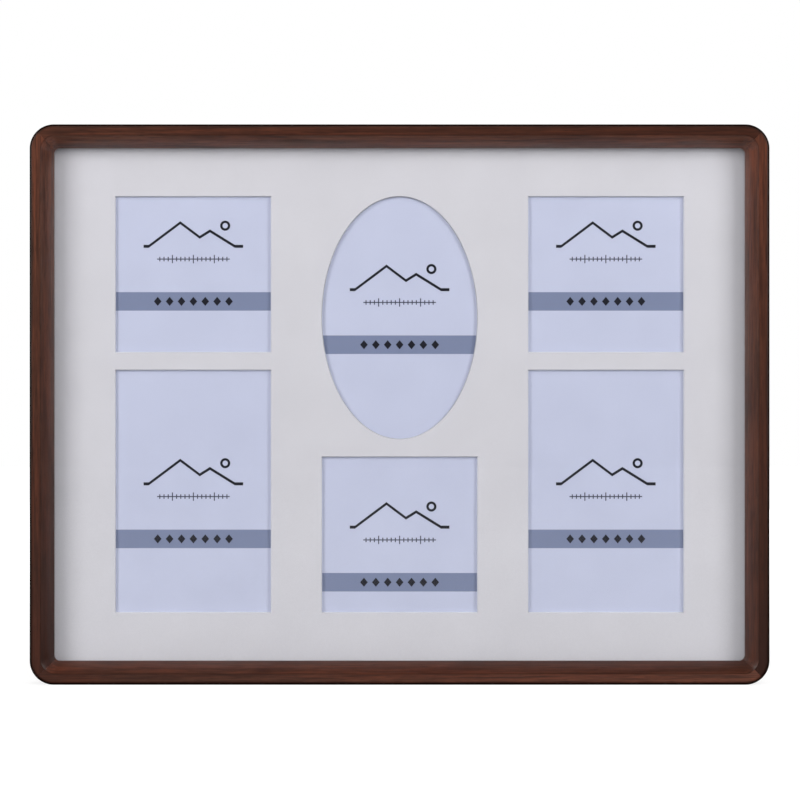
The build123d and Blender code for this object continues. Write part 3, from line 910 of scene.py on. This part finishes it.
def turn_button_points():
    """A closed band round the screw hole: hole wall, front face, eased edge, back face with its bead."""
    around = len(tongue_outline(0))
    angle = np.arctan2(*tongue_outline(0).T[::-1])
    hole = BUTTON_HOLE_RADIUS * np.stack([np.cos(angle), np.sin(angle)], axis=-1)
    share = np.linspace(0, 1, BUTTON_FACE_RINGS)[:, None, None]
    inner = tongue_outline(BUTTON_EDGE_EASE)
    rim_angle = np.linspace(0, pi / 2, BUTTON_RIM_STEPS)
    ease_in = BUTTON_EDGE_EASE * (1 - np.sin(rim_angle))
    ease_up = BUTTON_EDGE_EASE * (1 - np.cos(rim_angle))
    front = inner + (hole - inner) * share[::-1]
    back = inner + (hole - inner) * share
    low_rim = np.stack([tongue_outline(inset) for inset in ease_in[1:]])
    high_rim = low_rim[::-1]
    flat = np.concatenate([front, low_rim, high_rim, back])
    rise = np.concatenate([
        np.zeros(BUTTON_FACE_RINGS),
        ease_up[1:],
        BUTTON_THICKNESS - ease_up[:0:-1],
        np.full(BUTTON_FACE_RINGS, BUTTON_THICKNESS),
    ])[:, None]
    x, z = flat[..., 0], flat[..., 1]
    y = np.broadcast_to(rise, x.shape).copy()
    y[-BUTTON_FACE_RINGS:] += bead_lift(x[-BUTTON_FACE_RINGS:], z[-BUTTON_FACE_RINGS:])
    points = np.stack([x, y, z], axis=-1)
    return points.reshape(-1, 3), grid_faces(len(points), around, close_rows=True)


def turned(points, degrees, place):
    """Turn points about Y, as seen from the back, and move them to their place."""
    angle = radians(degrees)
    x, y, z = points.T
    moved = np.stack([x * cos(angle) + z * sin(angle), y, z * cos(angle) - x * sin(angle)], axis=-1)
    return moved + place


button_points, button_faces = turn_button_points()
zinc = plated_steel("button_steel", ZINC_BRIGHT, ZINC_DULL, ZINC_ROUGHNESS, ZINC_CLOUDS)
button_pivots = {}
for place_name, degrees in BUTTON_TURNS.items():
    button_name = "turn_button_" + place_name
    low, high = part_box(button_name)
    pivot_of = {
        0: (0.5 * (low.x + high.x), high.z - BUTTON_END_RADIUS),
        90: (high.x - BUTTON_END_RADIUS, 0.5 * (low.z + high.z)),
        180: (0.5 * (low.x + high.x), low.z + BUTTON_END_RADIUS),
        270: (low.x + BUTTON_END_RADIUS, 0.5 * (low.z + high.z)),
    }
    pivot_x, pivot_z = pivot_of[degrees]
    button_pivots[place_name] = (pivot_x, low.y, pivot_z)
    placed = turned(button_points, degrees, button_pivots[place_name])
    button = add_piece(button_name, placed, button_faces, [zinc], sharp_over=50)
    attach(button, button_name)
    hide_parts(button_name)


# Screws: round-head wood screws of zinc-plated steel with a cross recess, driven through the buttons
# into the rails. Each has stopped at its own turn.
SCREW_RADIUS = 0.0012
SCREW_LENGTH = 0.0095
SCREW_TIP_LENGTH = 0.0022
SCREW_HEAD_RADIUS = 0.0023
SCREW_HEAD_HEIGHT = 0.0015
SCREW_RIM_HEIGHT = 0.0005
SCREW_SEAT_ABOVE_BUTTON = 0.0011
RECESS_HALF_LENGTH = 0.0013
RECESS_HALF_WIDTH = 0.00032
RECESS_DEPTH = 0.0009
RECESS_WALL = 0.00012
SCREW_TURN_STEP = 17
AROUND_SCREW = 96
HEAD_RINGS = 34
SCREW_BRIGHT = screen_colour(206, 206, 204)
SCREW_DULL = screen_colour(160, 160, 156)
SCREW_ROUGHNESS = 0.24
SCREW_CLOUDS = 900


def dome_height(radius, head_radius, rim, height):
    """Height of a ball's cap that stands on a rim, at a distance from its axis."""
    cap = height - rim
    ball = (head_radius**2 + cap**2) / (2 * cap)
    return height - ball + np.sqrt(ball**2 - radius**2)


def revolved(radius, height, around):
    """Rings about the Y axis, one for each pair of a radius and a height."""
    angle = np.linspace(0, 2 * pi, around, endpoint=False)
    x = radius[:, None] * np.cos(angle)
    z = radius[:, None] * np.sin(angle)
    return np.stack([x, np.broadcast_to(height[:, None], x.shape), z], axis=-1)


def screw_points():
    """A pointed shank and a domed head about Y; the cross recess is sunk into the dome's height."""
    shank_radius = np.array([0, SCREW_RADIUS, SCREW_RADIUS, SCREW_HEAD_RADIUS])
    shank_height = np.array([-SCREW_LENGTH, SCREW_TIP_LENGTH - SCREW_LENGTH, 0, 0])
    head_radius = SCREW_HEAD_RADIUS * np.linspace(1, 0, HEAD_RINGS)
    head_height = dome_height(head_radius, SCREW_HEAD_RADIUS, SCREW_RIM_HEIGHT, SCREW_HEAD_HEIGHT)
    rings = revolved(
        np.concatenate([shank_radius, head_radius]),
        np.concatenate([shank_height, head_height]),
        AROUND_SCREW,
    )
    x, z = np.abs(rings[..., 0]), np.abs(rings[..., 2])
    across, along = np.minimum(x, z), np.maximum(x, z)
    sunk = np.clip((RECESS_HALF_WIDTH - across) / RECESS_WALL + 0.5, 0, 1)
    sunk *= np.clip((RECESS_HALF_LENGTH - along) / (3 * RECESS_WALL) + 0.5, 0, 1)
    sunk[:-HEAD_RINGS] = 0
    rings[..., 1] -= sunk * RECESS_DEPTH
    return rings.reshape(-1, 3), grid_faces(len(rings), AROUND_SCREW)


def repeated(points, faces, places):
    """One mesh of the same shape set at each (turn in degrees, place)."""
    copies = [turned(points, degrees, place) for degrees, place in places]
    offsets = np.arange(len(places)) * len(points)
    all_faces = (np.array(faces)[None] + offsets[:, None, None]).reshape(-1, len(faces[0]))
    return np.concatenate(copies), all_faces.tolist()


screw_shape, screw_faces = screw_points()
screw_places = [
    (degrees + SCREW_TURN_STEP * index, np.add(button_pivots[place_name], (0, SCREW_SEAT_ABOVE_BUTTON, 0)))
    for index, (place_name, degrees) in enumerate(BUTTON_TURNS.items())
]
points, faces = repeated(screw_shape, screw_faces, screw_places)
screw_steel = plated_steel("screw_steel", SCREW_BRIGHT, SCREW_DULL, SCREW_ROUGHNESS, SCREW_CLOUDS)
screws = add_piece("turn_button_screws", points, faces, [screw_steel])
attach(screws, "frame")
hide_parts("turn_button_screws")


# Hangers: toothed bars pressed from zinc-plated strip, one for each way up, joggled off the backing
# between two feet so that a wall hook catches in the teeth.
HANGER_LENGTH = 0.045
HANGER_HEIGHT = 0.010
HANGER_THICKNESS = 0.0008
HANGER_STANDOFF = 0.0018
HANGER_FOOT_LENGTH = 0.0085
HANGER_CORNER_RADIUS = 0.003
HANGER_EDGE_EASE = 0.00012
HANGER_EASED_OVER = 40
TOOTH_PITCH = 0.003
TOOTH_DEPTH = 0.0015
TOOTH_HALF_COUNT = 3
HANGER_ACROSS = 8
HANGER_CORNER_STEPS = 10
HANGER_JOGGLE_STEPS = 12
HANGER_BRIGHT = screen_colour(200, 199, 192)
HANGER_DULL = screen_colour(148, 147, 140)
HANGER_ROUGHNESS = 0.3
HANGER_CLOUDS = 180


def hanger_points():
    """A strip along X: its middle line rises from each foot by 3s^2 - 2s^3, its ends are rounded, and
    its lower edge is a triangle wave of notches between the feet. Z is up and Y is off the backing."""
    half = HANGER_LENGTH / 2
    foot = half - HANGER_FOOT_LENGTH
    swing = np.linspace(0, pi / 2, HANGER_CORNER_STEPS)
    corner = half - HANGER_CORNER_RADIUS + HANGER_CORNER_RADIUS * np.sin(swing)
    joggle = np.linspace(foot - HANGER_STANDOFF, foot, HANGER_JOGGLE_STEPS)
    teeth = np.arange(2 * TOOTH_HALF_COUNT + 2) / 2 * TOOTH_PITCH
    x = np.unique(np.concatenate([corner, joggle, teeth]).round(9))
    x = np.concatenate([-x[:0:-1], x])
    share = np.clip((foot - np.abs(x)) / HANGER_STANDOFF, 0, 1)
    rise = HANGER_STANDOFF * (3 * share**2 - 2 * share**3) + HANGER_THICKNESS / 2
    slope = (6 * share - 6 * share**2) * -np.sign(x)
    lean = np.stack([-slope, np.ones_like(slope)], axis=-1) / np.hypot(slope, 1)[:, None]
    past = np.clip(np.abs(x) - half + HANGER_CORNER_RADIUS, 0, HANGER_CORNER_RADIUS)
    reach = HANGER_HEIGHT / 2 - HANGER_CORNER_RADIUS + np.sqrt(HANGER_CORNER_RADIUS**2 - past**2)
    toothed = np.abs(x) < teeth[-1] + WELD_DISTANCE
    notch = TOOTH_DEPTH * (1 - 2 * np.abs(x / TOOTH_PITCH - np.round(x / TOOTH_PITCH))) * toothed
    up = np.linspace(0, 1, HANGER_ACROSS)
    z = -reach[:, None] + notch[:, None] + up * (2 * reach - notch)[:, None]
    loop_z = np.concatenate([z, z[:, ::-1]], axis=1)
    side = np.repeat([0.5, -0.5], HANGER_ACROSS) * HANGER_THICKNESS
    loop_x = x[:, None] + lean[:, :1] * side
    loop_y = rise[:, None] + lean[:, 1:] * side
    rings = np.stack([loop_x, loop_y, loop_z], axis=-1)
    return capped_rings(rings)


hanger_shape, hanger_faces = hanger_points()
hanger_steel = plated_steel("hanger_steel", HANGER_BRIGHT, HANGER_DULL, HANGER_ROUGHNESS, HANGER_CLOUDS)
hanger_places = {}
for hanger_name, degrees in (("hanger_landscape", 0), ("hanger_portrait", 90)):
    low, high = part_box(hanger_name)
    hanger_middle = np.array([(low.x + high.x) / 2, backing_high.y, (low.z + high.z) / 2])
    hanger_places[hanger_name] = (degrees, hanger_middle)
    placed = turned(hanger_shape, *hanger_places[hanger_name])
    hanger = add_piece(hanger_name, placed, hanger_faces, [hanger_steel])
    eased = hanger.modifiers.new("eased", "BEVEL")
    eased.width = HANGER_EDGE_EASE
    eased.segments = 2
    eased.limit_method = "ANGLE"
    eased.angle_limit = radians(HANGER_EASED_OVER)
    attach(hanger, "frame")
    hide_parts(hanger_name)


# Rivets: blind rivets of aluminium, one through each foot of a hanger, with a domed head outside, the
# broken mandrel sunk in its crown, and the tail in the backing.
RIVET_RADIUS = 0.0012
RIVET_HEAD_RADIUS = 0.0024
RIVET_HEAD_HEIGHT = 0.001
RIVET_RIM_HEIGHT = 0.0002
RIVET_MANDREL_RADIUS = 0.0007
RIVET_MANDREL_SINK = 0.0003
RIVET_MANDREL_WALL = 0.00012
RIVET_CROWN_RINGS = 26
AROUND_RIVET = 64
RIVET_BRIGHT = screen_colour(205, 206, 208)
RIVET_DULL = screen_colour(165, 166, 168)
RIVET_ROUGHNESS = 0.32
RIVET_CLOUDS = 700


def rivet_points():
    """A shank and a domed head about Y, with the broken mandrel sunk a little into the crown."""
    backing_thickness = backing_high.y - backing_low.y
    crown = RIVET_HEAD_RADIUS * np.linspace(1, 0, RIVET_CROWN_RINGS)
    height = dome_height(crown, RIVET_HEAD_RADIUS, RIVET_RIM_HEIGHT, RIVET_HEAD_HEIGHT)
    within_mandrel = np.clip((RIVET_MANDREL_RADIUS - crown) / RIVET_MANDREL_WALL + 0.5, 0, 1)
    height -= RIVET_MANDREL_SINK * within_mandrel
    radius = np.concatenate([[0, RIVET_RADIUS, RIVET_RADIUS, RIVET_HEAD_RADIUS], crown])
    height = np.concatenate([[-backing_thickness, -backing_thickness, 0, 0], height]) + HANGER_THICKNESS
    height[:2] -= HANGER_THICKNESS
    rings = revolved(radius, height, AROUND_RIVET)
    return rings.reshape(-1, 3), grid_faces(len(rings), AROUND_RIVET)


rivet_shape, rivet_faces = rivet_points()
rivet_out = (HANGER_LENGTH - HANGER_FOOT_LENGTH) / 2
rivet_places = []
for degrees, place in hanger_places.values():
    to_foot = rivet_out * np.array([cos(radians(degrees)), 0, -sin(radians(degrees))])
    rivet_places += [(degrees, place - to_foot), (degrees, place + to_foot)]
points, faces = repeated(rivet_shape, rivet_faces, rivet_places)
rivet_aluminium = plated_steel("rivet_aluminium", RIVET_BRIGHT, RIVET_DULL, RIVET_ROUGHNESS, RIVET_CLOUDS)
rivets = add_piece("hanger_rivets", points, faces, [rivet_aluminium])
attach(rivets, "frame")
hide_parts("hanger_rivets")


# Studio: a pale floor under the frame, two tall soft lights in front of it to the left and right, a
# weak one above the camera and one behind. What is seen past the frame is white.
FLOOR_REACH = 4.0
FLOOR_ALBEDO = 0.36
FLOOR_GLOW_NEAR = 0.75
FLOOR_NEAR = 0.25
FLOOR_FAR = 0.9
SIDE_LIGHT_SIZE = (0.6, 1.4)
LIGHTS = {
    "left_light": ((-1.35, -0.96, 0.55), SIDE_LIGHT_SIZE, 20.2),
    "right_light": ((1.35, -0.96, 0.55), SIDE_LIGHT_SIZE, 19.2),
    "front_light": ((0.0, -1.9, 1.5), (1.4, 0.7), 10.5),
    "rear_light": ((0.5, 1.6, 0.7), (2.0, 2.0), 23.0),
}
AMBIENT = 0.188
ROOM_GLOW = 0.03
BACKDROP_START = 0.8
BACKDROP_FULL = 0.96

for light_name, (place, size, power) in LIGHTS.items():
    lamp = bpy.data.lights.new(light_name, "AREA")
    lamp.shape = "RECTANGLE"
    lamp.size, lamp.size_y = size
    lamp.energy = power
    light = bpy.data.objects.new(light_name, lamp)
    light.location = place
    light.rotation_euler = light.location.to_track_quat("Z", "Y").to_euler()
    light.location += Vector((middle_x, 0, middle_z))
    light.visible_camera = False
    bpy.context.collection.objects.link(light)


def seen_directly(tree):
    """1 for a ray from the camera, off a mirror or through glass, and 0 for light that is scattered."""
    rays = tree.nodes.new("ShaderNodeLightPath")
    camera_ray = Wire(tree, rays.outputs["Is Camera Ray"])
    seen = camera_ray
    for kind in ("Is Glossy Ray", "Is Transmission Ray"):
        seen = seen.maths("MAXIMUM", seen, Wire(tree, rays.outputs[kind]))
    return seen, camera_ray


floor_material, floor_shader, floor_place = start_finish("floor")
floor_shader.inputs["Base Color"].default_value = (FLOOR_ALBEDO, FLOOR_ALBEDO, FLOOR_ALBEDO, 1)
floor_shader.inputs["Roughness"].default_value = 1.0
floor_shader.inputs["Specular IOR Level"].default_value = 0.0
floor_shader.inputs["Emission Color"].default_value = (1, 1, 1, 1)
flat_place = floor_place.node(
    "ShaderNodeVectorMath",
    {"operation": "MULTIPLY"},
    {0: floor_place, 1: (1, 1, 0)},
)
away = floor_place.node("ShaderNodeVectorMath", {"operation": "LENGTH"}, {0: flat_place}, output="Value")
floor_white = FLOOR_GLOW_NEAR + ramp(away, FLOOR_NEAR, FLOOR_FAR) * (1 - FLOOR_GLOW_NEAR)
floor_depth = parts_of(floor_place, "Y")[0]
floor_mirrored = ROOM_GLOW + ramp(floor_depth, 0.0, FLOOR_FAR) * (1 - ROOM_GLOW)
floor_seen, floor_camera = seen_directly(floor_material.node_tree)
floor_glow = floor_camera * floor_white + (floor_seen - floor_camera) * floor_mirrored
floor_glow.feed(floor_shader, "Emission Strength")
floor_mesh = bpy.data.meshes.new("floor")
floor_corners = np.array([(-1, -1), (1, -1), (1, 1), (-1, 1)]) * FLOOR_REACH
floor_mesh.from_pydata(np.insert(floor_corners, 2, cad_low.z, axis=1).tolist(), [], [(0, 1, 2, 3)])
floor_mesh.materials.append(floor_material)
floor = bpy.data.objects.new("floor", floor_mesh)
bpy.context.collection.objects.link(floor)

world = bpy.data.worlds.new("studio")
world.use_nodes = True
backdrop = world.node_tree.nodes["Background"]
bpy.context.scene.world = world
sky_seen, sky_camera = seen_directly(world.node_tree)
direction = sky_seen.node("ShaderNodeTexCoord", output="Generated")
direction_depth = parts_of(direction, "Y")[0]
behind = ramp(direction_depth, BACKDROP_START, BACKDROP_FULL)
mirrored = ROOM_GLOW + behind * (1 - ROOM_GLOW)
strength = sky_camera + (sky_seen - sky_camera) * mirrored + (1 - sky_seen) * AMBIENT
strength.feed(backdrop, "Strength")
backdrop.inputs["Color"].default_value = (1, 1, 1, 1)

bpy.context.scene.view_settings.view_transform = "Standard"
